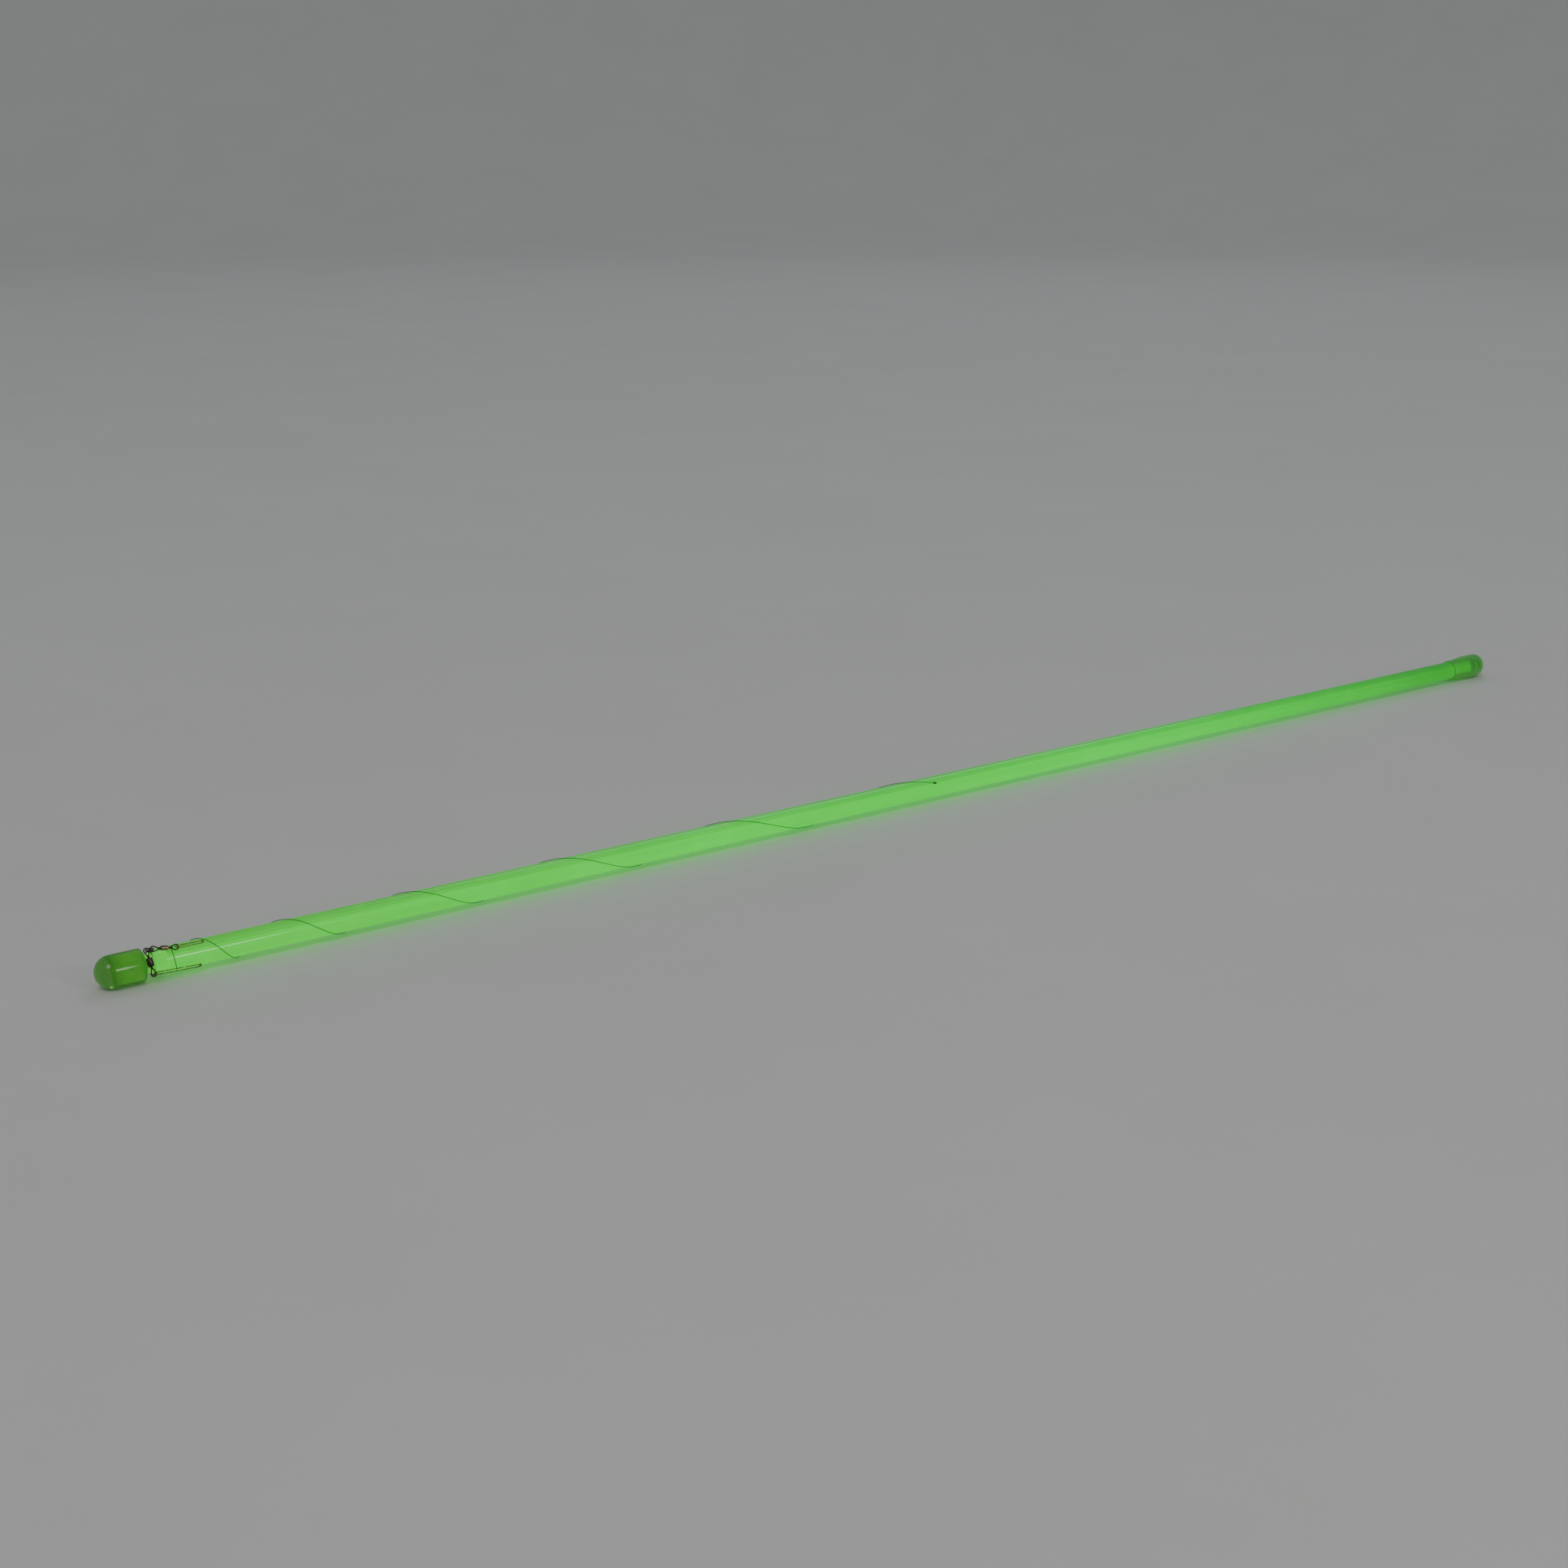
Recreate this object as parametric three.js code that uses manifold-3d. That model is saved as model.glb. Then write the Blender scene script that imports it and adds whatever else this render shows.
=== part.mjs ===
// A long slim chemical light stick lying on its two domed end caps, with a small fitting of wire
// swivels and clips tied at the neck of its left end and a fine line wound round the tube.
// Millimetres. X runs along the stick, -Y is its front, Z is up, and the caps stand on Z = 0.
import * as THREE from "three";
import { mergeVertices } from "three/addons/utils/BufferGeometryUtils.js";
import Module from "manifold-3d";

const wasm = await Module();
wasm.setup();

// Driving dimensions of the stick. Distances along it are measured from its left tip.
const stickLength = 500;
const tubeRadius = 3;
const tubeWall = 0.5;
const capRadius = 3.9;
const capWall = 0.45;
const fitGap = 0.1;
const roundSides = 24;
const smallSides = 12;
const domeSteps = 8;

// Left end: the cap, its plug and the neck between the plug and the tube.
const leftCapLength = 10.8;
const capTipThickness = 2.4;
const noseDepth = 1.8;
const neckRadius = 2.2;
const tubeStart = 12.8;
const fluidStart = 13.6;
const spigotLength = 3.5;
const spigotWall = 0.45;

// Right end: the closed end of the bore and the bulb that flares out of the tube.
const fluidEnd = stickLength - 7.2;
const tubeEnd = stickLength - 6.3;
const flareStart = stickLength - 17.7;
const flareEnd = stickLength - 6.9;
const rightTipThickness = 2.15;
const lipThickness = 0.2;
const cupDepth = 1;
const cupShare = 0.85;

// Glass ampoule, broken into pieces that lie one after another in the fluid.
const ampouleRadius = 1.5;
const ampouleWall = 0.2;
const ampouleStart = 21;
const ampouleEnd = stickLength - 18;
const ampoulePieceCount = 5;
const breakGap = 2;

// Fitting: swivels, a split ring and two long wire clips.
const frontTilt = THREE.MathUtils.degToRad(21);
const wireThickness = 0.24;
const eyeWire = 0.38;
const eyeOuterRadius = 0.74;
const eyeNeckReach = 1.25;
const neckBarrelSize = { radius: 0.75, halfLength: 1.05 };
const tubeBarrelSize = { radius: 0.55, halfLength: 0.95 };
const barrelSideWall = 0.22;
const barrelEndWall = 0.25;
const barrelShoulder = 0.28;
const stemClearance = 0.08;
const stemHeadThickness = 0.2;
const collarOffset = 0.15;
const collarLength = 0.2;
const clipWidth = 1.24;
const clipRoll = THREE.MathUtils.degToRad(30);
const splitRingRadius = 0.87;
const splitRingTurns = 2;
const splitRingStepsPerTurn = 20;
const splitRingWire = 0.09;
const splitRingPitch = 0.21;
const splitRingTilt = THREE.MathUtils.degToRad(25);

// Fine line wound round the tube, with turns that open out along it.
const lineRadius = 0.08;
const lineOrbit = tubeRadius + 0.17;
const lineStart = 17.2;
const lineTurns = 6.055;
const lineGrowth = 9.4;
const lineGrowthPower = 1.77;
const lineFirstAngle = THREE.MathUtils.degToRad(32);
const lineStartLift = 0.45;
const lineStartLiftTurns = 0.15;
const lineEndLift = 0.3;
const lineEndLiftTurns = 0.08;
const lineStepsPerTurn = 34;

// Where the line is tied, measured along the tube swivel from its middle, and the crimp on its far end.
const knotPlace = 1.62;
const knotHalfLength = 0.14;
const knotBore = 0.24;
const knotRimRadius = 0.36;
const knotRadius = 0.42;
const crimpHalfLength = 0.45;
const crimpBore = 0.14;
const crimpRadius = 0.26;
const crimpPlace = 0.9985;

const boreRadius = tubeRadius - tubeWall;
const fluidRadius = boreRadius - fitGap;
const spigotRadius = boreRadius - 0.8 * fitGap;
const capBore = capRadius - capWall;
const plugRadius = capBore - fitGap;
const axisHeight = capRadius * Math.cos(Math.PI / roundSides);

function material(color, roughness, metalness, extra = {}) {
  return new THREE.MeshStandardMaterial({ color, roughness, metalness, ...extra });
}

const clearPlastic = material(0x9fd08a, 0.25, 0, { transparent: true, opacity: 0.45 });
const milkyPlastic = material(0x6fae4e, 0.45, 0);
const glowingFluid = material(0x6cc860, 0.4, 0, { emissive: 0x4fc455 });
const thinGlass = material(0xc8e6c0, 0.1, 0, { transparent: true, opacity: 0.5 });
const darkMetal = material(0x3a322c, 0.35, 0.9);
const paleBrass = material(0xb8a46a, 0.3, 0.9);
const darkLine = material(0x2c4a24, 0.6, 0);

// Points [along, radius] of a quarter of an ellipse about the point (centre, 0).
function quarterDome(centre, depth, radius, fromAxis, steps = domeSteps) {
  const points = [];
  for (let i = 0; i <= steps; i += 1) {
    const share = fromAxis ? i / steps : 1 - i / steps;
    const angle = (share * Math.PI) / 2;
    points.push([centre - depth * Math.cos(angle), radius * Math.sin(angle)]);
  }
  return points;
}

// A turned solid from points [along, radius], with a flat of its outline facing the ground.
function turned(profile, sides = roundSides) {
  const points = profile.map(([along, radius]) => new THREE.Vector2(radius, along));
  return new THREE.LatheGeometry(points, sides, Math.PI / sides);
}

// The same, laid along X and placed from the left tip of the stick.
function turnedAlongStick(profile, sides = roundSides) {
  const shifted = profile.map(([along, radius]) => [along - stickLength / 2, radius]);
  return turned(shifted, sides).rotateZ(-Math.PI / 2);
}

function named(name, geometry, meshMaterial) {
  const mesh = new THREE.Mesh(geometry, meshMaterial);
  mesh.name = name;
  return mesh;
}

// Joins closed geometries into one.
function joined(geometries) {
  const solids = geometries.map((geometry) => {
    const bare = geometry.index ? geometry.toNonIndexed() : geometry.clone();
    bare.deleteAttribute("normal");
    bare.deleteAttribute("uv");
    const merged = mergeVertices(bare, 1e-4);
    const mesh = new wasm.Mesh({
      numProp: 3,
      vertProperties: merged.attributes.position.array,
      triVerts: new Uint32Array(merged.index.array),
    });
    mesh.merge();
    return new wasm.Manifold(mesh);
  });
  const whole = solids.reduce((sum, solid) => sum.add(solid));
  const mesh = whole.getMesh();
  const geometry = new THREE.BufferGeometry();
  geometry.setAttribute("position", new THREE.BufferAttribute(mesh.vertProperties, 3));
  geometry.setIndex(new THREE.BufferAttribute(mesh.triVerts, 1));
  geometry.computeVertexNormals();
  return geometry;
}

// A round wire along a curve.
function wireAlong(curve, radius, steps, sides = 6) {
  const section = new THREE.Shape();
  section.absarc(0, 0, radius, 0, 2 * Math.PI);
  const outline = new THREE.Shape(section.getSpacedPoints(sides).slice(0, sides));
  return new THREE.ExtrudeGeometry(outline, { steps, extrudePath: curve, bevelEnabled: false });
}

// ---- The light stick ----

function makeOuterTube() {
  const profile = [
    [tubeStart, tubeRadius],
    [tubeEnd, tubeRadius],
    [tubeEnd, boreRadius],
    [tubeStart, boreRadius],
    [tubeStart, tubeRadius],
  ];
  return named("outer_tube", turnedAlongStick(profile), clearPlastic);
}

// The fluid fills the bore round the ampoule, and ends in a dome at the right.
function makeGlowFluid() {
  const noseRadius = spigotRadius - spigotWall - fitGap;
  const ampouleBore = ampouleRadius + fitGap;
  const spigotEnd = tubeStart + spigotLength;
  const dome = quarterDome(-(fluidEnd - fluidRadius), fluidRadius, fluidRadius, false);
  const profile = [
    [fluidStart + fitGap, ampouleBore],
    [fluidStart + fitGap, noseRadius],
    [spigotEnd + fitGap, noseRadius],
    [spigotEnd + fitGap, fluidRadius],
    ...dome.map(([along, radius]) => [-along, radius]),
    [ampouleEnd + fitGap, 0],
    [ampouleEnd + fitGap, ampouleBore],
    [fluidStart + fitGap, ampouleBore],
  ];
  return named("glow_fluid", turnedAlongStick(profile), glowingFluid);
}

// Open lengths of thin glass tube, end to end with a gap at each break.
function makeAmpoulePieces() {
  const pitch = (ampouleEnd - ampouleStart + breakGap) / ampoulePieceCount;
  const pieces = [];
  for (let i = 0; i < ampoulePieceCount; i += 1) {
    const start = ampouleStart + i * pitch;
    const end = start + pitch - breakGap;
    const profile = [
      [start, ampouleRadius],
      [end, ampouleRadius],
      [end, ampouleRadius - ampouleWall],
      [start, ampouleRadius - ampouleWall],
      [start, ampouleRadius],
    ];
    pieces.push(named(`ampoule_piece_${i + 1}`, turnedAlongStick(profile, 16), thinGlass));
  }
  return pieces;
}

// A stopper: a domed body in the cap, a bare neck, and a hollow spigot in the tube's bore.
function makeLeftPlug() {
  const noseCentre = capTipThickness + fitGap + noseDepth;
  const bodyEnd = leftCapLength - 3 * fitGap;
  const spigotEnd = tubeStart + spigotLength;
  const hollowRadius = spigotRadius - spigotWall;
  const profile = [
    ...quarterDome(noseCentre, noseDepth, plugRadius, true),
    [bodyEnd, plugRadius],
    [bodyEnd, neckRadius],
    [tubeStart - fitGap, neckRadius],
    [tubeStart - fitGap, spigotRadius],
    [spigotEnd, spigotRadius],
    [spigotEnd, hollowRadius],
    [fluidStart, hollowRadius],
    [fluidStart, 0],
  ];
  return named("left_plug", turnedAlongStick(profile), milkyPlastic);
}

function makeLeftEndCap() {
  const profile = [
    ...quarterDome(capRadius, capRadius, capRadius, true),
    [leftCapLength, capRadius],
    [leftCapLength, capBore],
    ...quarterDome(capTipThickness + noseDepth, noseDepth, capBore, false),
  ];
  return named("left_end_cap", turnedAlongStick(profile), clearPlastic);
}

// The closed end of the tube: a solid plug with a hollow that fits the fluid's dome.
function makeRightPlug() {
  const cupRim = fluidEnd + fitGap - cupDepth;
  const cupRadius = fluidRadius * cupShare;
  const bodyStart = tubeEnd + 3 * fitGap;
  const noseCentre = stickLength - rightTipThickness - fitGap - noseDepth;
  const cup = quarterDome(-cupRim, cupDepth, cupRadius, true, 5);
  const nose = quarterDome(-noseCentre, noseDepth, plugRadius, false);
  const profile = [
    ...cup.map(([along, radius]) => [-along, radius]),
    [cupRim, spigotRadius],
    [bodyStart, spigotRadius],
    [bodyStart, plugRadius],
    ...nose.map(([along, radius]) => [-along, radius]),
  ];
  return named("right_plug", turnedAlongStick(profile), milkyPlastic);
}

// A bulb whose skirt flares smoothly from the tube to the full cap radius.
function makeRightEndCap() {
  const sleeveBore = tubeRadius + 0.6 * fitGap;
  const lipRadius = sleeveBore + lipThickness;
  const innerCentre = stickLength - rightTipThickness - noseDepth;
  const inner = quarterDome(-innerCentre, noseDepth, capBore, true);
  const outer = quarterDome(-(stickLength - capRadius), capRadius, capRadius, false);
  const flare = [];
  for (let i = 0; i <= domeSteps; i += 1) {
    const share = i / domeSteps;
    const rise = share * share * (3 - 2 * share);
    flare.push([
      flareStart + share * (flareEnd - flareStart),
      lipRadius + rise * (capRadius - lipRadius),
    ]);
  }
  const profile = [
    ...inner.map(([along, radius]) => [-along, radius]),
    [tubeEnd + fitGap, capBore],
    [tubeEnd + fitGap, sleeveBore],
    [flareStart, sleeveBore],
    ...flare,
    ...outer.map(([along, radius]) => [-along, radius]),
  ];
  return named("right_end_cap", turnedAlongStick(profile), clearPlastic);
}

// ---- The fitting, in a frame turned so that -Y points squarely at its front ----

// A point of the fitting: along the stick, out from its axis to the front, and up across it.
function fittingPoint(along, out, up) {
  return new THREE.Vector3(along - stickLength / 2, -out, up);
}

const neckEyeTop = fittingPoint(11.5, 3.1, 2.85);
const neckEyeBottom = fittingPoint(12.05, 3.1, -2.56);
const tubeEyeLeft = fittingPoint(13.2, 2.75, 2.95);
const tubeEyeRight = fittingPoint(18.25, 3.2, 2.26);
const topClipTip = fittingPoint(24.85, 2.9, 2.13);
const bottomClipTip = fittingPoint(23.6, 2.0, -3.0);
const frontward = new THREE.Vector3(0, -1, 0);

// Turns a mesh's frame so that Y runs along one direction and Z faces another as nearly as it can.
function aim(object, origin, yDirection, zHint) {
  const y = yDirection.clone().normalize();
  const x = new THREE.Vector3().crossVectors(y, zHint).normalize();
  const z = new THREE.Vector3().crossVectors(x, y);
  object.position.copy(origin);
  object.quaternion.setFromRotationMatrix(new THREE.Matrix4().makeBasis(x, y, z));
  return object;
}

// The shell of a swivel: a barrel with a hole at each end and room for a headed stem inside.
function barrelGeometry({ radius, halfLength }) {
  const hole = eyeWire / 2 + stemClearance;
  const room = radius - barrelSideWall;
  const wallEnd = halfLength - barrelEndWall;
  const shoulder = quarterDome(-(halfLength - barrelShoulder), barrelShoulder, barrelShoulder, false, 3);
  const topShoulder = shoulder.map(([along, out]) => [-along, radius - barrelShoulder + out]);
  const bottomShoulder = topShoulder.map(([along, out]) => [-along, out]).reverse();
  const profile = [
    [-halfLength, hole],
    ...bottomShoulder,
    ...topShoulder,
    [halfLength, hole],
    [wallEnd, hole],
    [wallEnd, room],
    [-wallEnd, room],
    [-wallEnd, hole],
    [-halfLength, hole],
  ];
  return turned(profile);
}

// A drop-shaped wire eye with a collared stem, and a head inside the barrel. Y runs outwards.
function eyeGeometry(reach, { radius, halfLength }) {
  const stemRadius = eyeWire / 2;
  const headRadius = radius - barrelSideWall - fitGap;
  const headTop = halfLength - barrelEndWall - fitGap;
  const collarStart = halfLength + collarOffset;
  const collarRadius = eyeWire * 0.75;
  const stemEnd = reach - eyeOuterRadius + eyeWire / 2;
  const stemProfile = [
    [headTop - stemHeadThickness, 0],
    [headTop - stemHeadThickness, headRadius],
    [headTop, headRadius],
    [headTop, stemRadius],
    [collarStart, stemRadius],
    [collarStart, collarRadius],
    [collarStart + collarLength, collarRadius],
    [collarStart + collarLength, stemRadius],
    [stemEnd, stemRadius],
    [stemEnd, 0],
  ];
  const stem = turned(stemProfile, smallSides);
  const tangent = Math.acos(eyeOuterRadius / eyeNeckReach);
  const arcStart = -Math.PI / 2 + tangent;
  const drop = new THREE.Shape();
  drop.moveTo(0, -eyeNeckReach);
  drop.lineTo(eyeOuterRadius * Math.cos(arcStart), eyeOuterRadius * Math.sin(arcStart));
  drop.absarc(0, 0, eyeOuterRadius, arcStart, Math.PI - arcStart, false);
  drop.closePath();
  const hole = new THREE.Path();
  hole.absarc(0, 0, eyeOuterRadius - eyeWire, 0, 2 * Math.PI, true);
  drop.holes.push(hole);
  const loop = new THREE.ExtrudeGeometry(drop, {
    depth: eyeWire,
    bevelEnabled: false,
    curveSegments: 10,
  });
  loop.translate(0, reach, -eyeWire / 2);
  return joined([stem, loop]);
}

// A barrel between two eyes whose hole centres are given.
function makeSwivel(names, start, end, barrelSize, barrelMaterial) {
  const middle = start.clone().add(end).multiplyScalar(0.5);
  const reach = start.distanceTo(end) / 2;
  const forward = end.clone().sub(start);
  const backward = forward.clone().negate();
  const eye = eyeGeometry(reach, barrelSize);
  const barrel = named(names.barrel, barrelGeometry(barrelSize), barrelMaterial);
  const startEye = named(names.startEye, eye.clone(), darkMetal);
  const endEye = named(names.endEye, eye.clone(), darkMetal);
  return [
    aim(barrel, middle, forward, frontward),
    aim(startEye, middle, backward, frontward),
    aim(endEye, middle, forward, frontward),
  ];
}

// A close coil of round wire about its Y axis.
class CoilCurve extends THREE.Curve {
  getPoint(share, target = new THREE.Vector3()) {
    const angle = share * splitRingTurns * 2 * Math.PI;
    const rise = (share - 0.5) * splitRingTurns * splitRingPitch;
    return target.set(splitRingRadius * Math.cos(angle), rise, splitRingRadius * Math.sin(angle));
  }
}

function makeSplitRing() {
  const centre = neckEyeTop.clone().add(tubeEyeLeft).multiplyScalar(0.5);
  const across = tubeEyeLeft.clone().sub(neckEyeTop).normalize();
  const wireWay = frontward.clone().applyAxisAngle(across, splitRingTilt);
  const ringAxis = new THREE.Vector3().crossVectors(across, wireWay);
  const steps = splitRingStepsPerTurn * splitRingTurns;
  const geometry = wireAlong(new CoilCurve(), splitRingWire, steps);
  return aim(named("split_ring", geometry, darkMetal), centre, ringAxis, across);
}

// A long narrow wire loop. Its near bend passes through an eye, and Y runs across the loop.
function makeClip(name, eyeCentre, tip, roll) {
  const length = eyeCentre.distanceTo(tip) + wireThickness / 2;
  const outerRadius = clipWidth / 2;
  const innerRadius = outerRadius - wireThickness;
  const nearCentre = innerRadius + wireThickness / 2;
  const farCentre = length - outerRadius;
  const outline = new THREE.Shape();
  outline.absarc(nearCentre, 0, outerRadius, Math.PI / 2, (3 * Math.PI) / 2, false);
  outline.absarc(farCentre, 0, outerRadius, -Math.PI / 2, Math.PI / 2, false);
  outline.closePath();
  const hole = new THREE.Path();
  hole.absarc(nearCentre, 0, innerRadius, (3 * Math.PI) / 2, Math.PI / 2, true);
  hole.absarc(farCentre, 0, innerRadius, Math.PI / 2, -Math.PI / 2, true);
  hole.closePath();
  outline.holes.push(hole);
  const geometry = new THREE.ExtrudeGeometry(outline, {
    depth: wireThickness,
    bevelEnabled: false,
    curveSegments: 8,
  });
  geometry.translate(0, 0, -wireThickness / 2);
  const along = tip.clone().sub(eyeCentre).normalize();
  const acrossFlat = new THREE.Vector3(0, 0, 1).cross(along).normalize();
  const loopNormal = new THREE.Vector3().crossVectors(along, acrossFlat);
  loopNormal.applyAxisAngle(along, roll);
  const acrossLoop = new THREE.Vector3().crossVectors(loopNormal, along);
  const clip = named(name, geometry, paleBrass);
  clip.position.copy(eyeCentre);
  const basis = new THREE.Matrix4().makeBasis(along, acrossLoop, loopNormal);
  clip.quaternion.setFromRotationMatrix(basis);
  return clip;
}

// The line's path round the tube. It stands off a little at both ends, where it is tied.
class WindingCurve extends THREE.Curve {
  getPoint(share, target = new THREE.Vector3()) {
    const turns = share * lineTurns;
    const angle = lineFirstAngle - turns * 2 * Math.PI;
    const along = lineStart + lineGrowth * turns ** lineGrowthPower;
    const startLift = lineStartLift * Math.max(0, 1 - turns / lineStartLiftTurns);
    const endLift = lineEndLift * Math.max(0, 1 - (lineTurns - turns) / lineEndLiftTurns);
    const orbit = lineOrbit + startLift + endLift;
    return target.set(
      along - stickLength / 2,
      -orbit * Math.cos(angle),
      orbit * Math.sin(angle),
    );
  }
}

function makeWindingLine() {
  const steps = Math.round(lineTurns * lineStepsPerTurn);
  const curve = new WindingCurve();
  curve.arcLengthDivisions = 4 * steps;
  return named("winding_line", wireAlong(curve, lineRadius, steps), darkLine);
}

// A tight collar of line round the stem of the swivel's right eye, where the line is tied.
function makeLineKnot() {
  const axis = tubeEyeRight.clone().sub(tubeEyeLeft).normalize();
  const middle = tubeEyeLeft.clone().add(tubeEyeRight).multiplyScalar(0.5);
  const centre = middle.addScaledVector(axis, knotPlace);
  const profile = [
    [-knotHalfLength, knotBore],
    [-knotHalfLength, knotRimRadius],
    [0, knotRadius],
    [knotHalfLength, knotRimRadius],
    [knotHalfLength, knotBore],
    [-knotHalfLength, knotBore],
  ];
  const mesh = named("line_knot", turned(profile, smallSides), darkLine);
  return aim(mesh, centre, axis, frontward);
}

// A small crimped sleeve on the far end of the line.
function makeLineEndCrimp() {
  const curve = new WindingCurve();
  const profile = [
    [-crimpHalfLength, crimpBore],
    [-crimpHalfLength, crimpRadius],
    [crimpHalfLength, crimpRadius],
    [crimpHalfLength, crimpBore],
    [-crimpHalfLength, crimpBore],
  ];
  const mesh = named("line_end_crimp", turned(profile, smallSides), darkMetal);
  return aim(mesh, curve.getPoint(crimpPlace), curve.getTangent(crimpPlace), frontward);
}

function makeFitting() {
  const fitting = new THREE.Group();
  fitting.rotation.x = -frontTilt;
  const neckSwivel = {
    barrel: "neck_swivel_barrel",
    startEye: "neck_swivel_top_eye",
    endEye: "neck_swivel_bottom_eye",
  };
  const tubeSwivel = {
    barrel: "tube_swivel_barrel",
    startEye: "tube_swivel_left_eye",
    endEye: "tube_swivel_right_eye",
  };
  fitting.add(
    ...makeSwivel(neckSwivel, neckEyeTop, neckEyeBottom, neckBarrelSize, darkMetal),
    ...makeSwivel(tubeSwivel, tubeEyeLeft, tubeEyeRight, tubeBarrelSize, paleBrass),
    makeSplitRing(),
    makeClip("top_clip", tubeEyeRight, topClipTip, clipRoll),
    makeClip("bottom_clip", neckEyeBottom, bottomClipTip, -clipRoll),
    makeWindingLine(),
    makeLineKnot(),
    makeLineEndCrimp(),
  );
  return fitting;
}

const stick = new THREE.Group();
stick.position.z = axisHeight;
stick.add(
  makeOuterTube(),
  makeGlowFluid(),
  ...makeAmpoulePieces(),
  makeLeftPlug(),
  makeLeftEndCap(),
  makeRightPlug(),
  makeRightEndCap(),
  makeFitting(),
);

// The fitting overhangs the caps at the front, so the stick sits back to centre the whole on Y = 0.
const lightStick = new THREE.Group();
lightStick.add(stick);
lightStick.updateMatrixWorld(true);
const extent = new THREE.Box3().setFromObject(lightStick, true);
stick.position.y = -(extent.min.y + extent.max.y) / 2;

export default lightStick;
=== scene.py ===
"""A long slim chemical light stick on its two domed end caps, with a small wire fitting at its left neck.

Lengths in the design are millimetres measured from the stick's left tip and from its axis, as a person
would dimension it; put() turns them into the row frame's metres."""

import math

import bmesh
import bpy
from mathutils import Matrix, Vector, noise


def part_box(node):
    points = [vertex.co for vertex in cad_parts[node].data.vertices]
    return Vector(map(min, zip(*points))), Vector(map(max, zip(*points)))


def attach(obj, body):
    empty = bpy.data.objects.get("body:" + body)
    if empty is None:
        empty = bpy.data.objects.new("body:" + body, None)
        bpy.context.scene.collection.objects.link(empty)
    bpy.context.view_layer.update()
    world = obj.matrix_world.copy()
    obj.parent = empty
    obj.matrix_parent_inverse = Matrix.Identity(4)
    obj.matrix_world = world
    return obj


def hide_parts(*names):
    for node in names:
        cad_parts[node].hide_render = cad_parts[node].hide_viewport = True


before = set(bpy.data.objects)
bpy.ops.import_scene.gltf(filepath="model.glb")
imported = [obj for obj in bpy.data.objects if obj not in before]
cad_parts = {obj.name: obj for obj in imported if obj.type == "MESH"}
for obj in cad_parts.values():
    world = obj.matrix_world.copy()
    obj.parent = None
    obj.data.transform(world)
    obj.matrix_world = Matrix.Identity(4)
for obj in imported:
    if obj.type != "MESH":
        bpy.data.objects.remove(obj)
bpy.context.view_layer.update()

MM = 0.001

# ---- Where the stick lies, from the frame ----
tube_low, tube_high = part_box("outer_tube")
cap_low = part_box("left_end_cap")[0]
AXIS_Y = (tube_low.y + tube_high.y) / 2
AXIS_Z = (tube_low.z + tube_high.z) / 2
LEFT_TIP = cap_low.x
LENGTH = (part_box("right_end_cap")[1].x - LEFT_TIP) / MM

# ---- Driving dimensions of the stick, in millimetres ----
TUBE_RADIUS = 3.0
BORE_RADIUS = 2.5
CAP_RADIUS = AXIS_Z / MM
CAP_BORE = 3.45
FIT_GAP = 0.1
PLUG_RADIUS = CAP_BORE - FIT_GAP
SPIGOT_RADIUS = BORE_RADIUS - 0.8 * FIT_GAP
TUBE_START = 12.8
TUBE_END = LENGTH - 6.3
CAP_LENGTH = 10.8
TIP_THICKNESS = 2.4
NOSE_DEPTH = 1.8
NECK_RADIUS = 2.2
FLUID_START = 13.7
FLUID_END = LENGTH - 7.2
# Height of the painted shade line on the liquid's glow; above it the glow is painted dimmer.
PAINTED_SHADE_LEVEL = 1.72
CONTACT = 0.004
SPIGOT_END = 16.3
SPIGOT_WALL = 0.45
FLARE_START = LENGTH - 17.7
FLARE_END = LENGTH - 6.9
RIGHT_TIP = 2.15
SLEEVE_GAP = 0.06
LIP = 0.2
CUP_DEPTH = 1.0
CUP_SHARE = 0.85
AMPOULE_RADIUS = 1.5
AMPOULE_WALL = 0.2
AMPOULE_PIECES = 5
JAGGED_DEPTH = 0.9

# ---- Driving dimensions of the fitting ----
FRONT_TILT = math.radians(21)
WIRE = 0.24
EYE_STEM = 0.38
EYE_WIRE = 0.30
EYE_OUTER_RADIUS = 0.74
EYE_RADIUS = EYE_OUTER_RADIUS - EYE_WIRE / 2
EYE_NECK = 1.25
NECK_BARREL = (0.75, 1.05)
TUBE_BARREL = (0.55, 0.95)
BARREL_WALL = 0.22
BARREL_END_WALL = 0.25
BARREL_SHOULDER = 0.28
STEM_CLEARANCE = 0.08
STEM_HEAD = 0.2
CLIP_WIDTH = 1.24
CLIP_ROLL = math.radians(30)
RING_RADIUS = 0.87
RING_WIRE = 0.09
RING_TURNS = 2
RING_PITCH = 0.21
RING_TILT = math.radians(25)
LINE_RADIUS = 0.08
LINE_ORBIT = 3.17
LINE_START = 17.2
LINE_TURNS = 6.055
LINE_GROWTH = 9.4
LINE_POWER = 1.77
LINE_FIRST_ANGLE = math.radians(32)
LINE_START_LIFT = 0.45
LINE_START_LIFT_TURNS = 0.15
LINE_END_LIFT = 0.3
LINE_END_LIFT_TURNS = 0.08
KNOT_PLACE = 1.62
CRIMP_PLACE = 0.9985
FRONTWARD = Vector((0, -1, 0))

# ---- How finely round shapes are divided ----
ROUND = 96
SMALL_ROUND = 40
STEM_ROUND = 24
WIRE_ROUND = 12
ON_AXIS = 1e-6


# ---- Mesh helpers. Shapes are made in millimetres about the stick's axis ----

def arc(centre, radius, start, end, steps=8):
    """Points [along, out] of an arc or, with two radii, of part of an ellipse; angles in degrees."""
    across, out = radius if isinstance(radius, tuple) else (radius, radius)
    points = []
    for i in range(steps + 1):
        angle = math.radians(start + (end - start) * i / steps)
        points.append((centre[0] + across * math.cos(angle), centre[1] + out * math.sin(angle)))
    return points


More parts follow.
